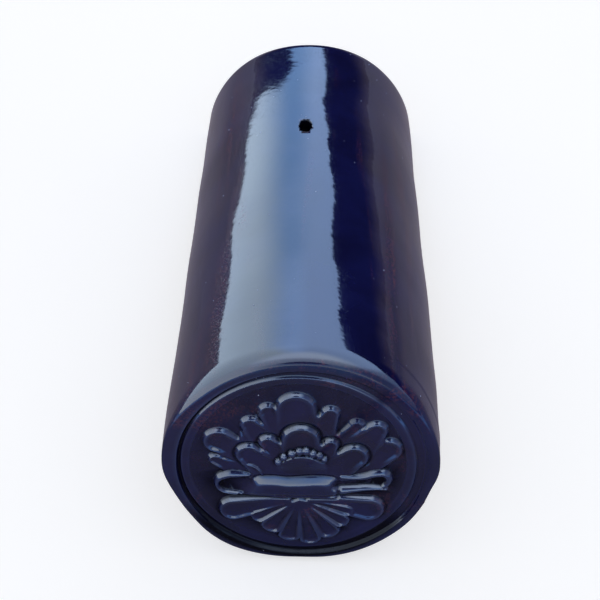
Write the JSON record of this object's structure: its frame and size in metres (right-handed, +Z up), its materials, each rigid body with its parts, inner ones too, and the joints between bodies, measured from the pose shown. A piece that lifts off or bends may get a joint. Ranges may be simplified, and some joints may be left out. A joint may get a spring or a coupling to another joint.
{
  "type": "glazed roof tile",
  "caption": "Half-round glazed eave tile: a barrel that covers the joint of two pan tiles, closed in front by a round disc with a moulded flower, with a nail hole in its crown.",
  "frame": {"origin": "middle of the tile's box, on the surface that it lies on", "axes": "+Y from the disc towards the open end, level; +Z up; +X to the right of someone who faces the disc"},
  "size_m": [0.16, 0.3814, 0.1513],
  "materials": {
    "glaze": "glossy deep cobalt glaze over fired buff clay"
  },
  "bodies": {
    "root": {"eave_tile": "glaze"}
  },
  "joints": []
}
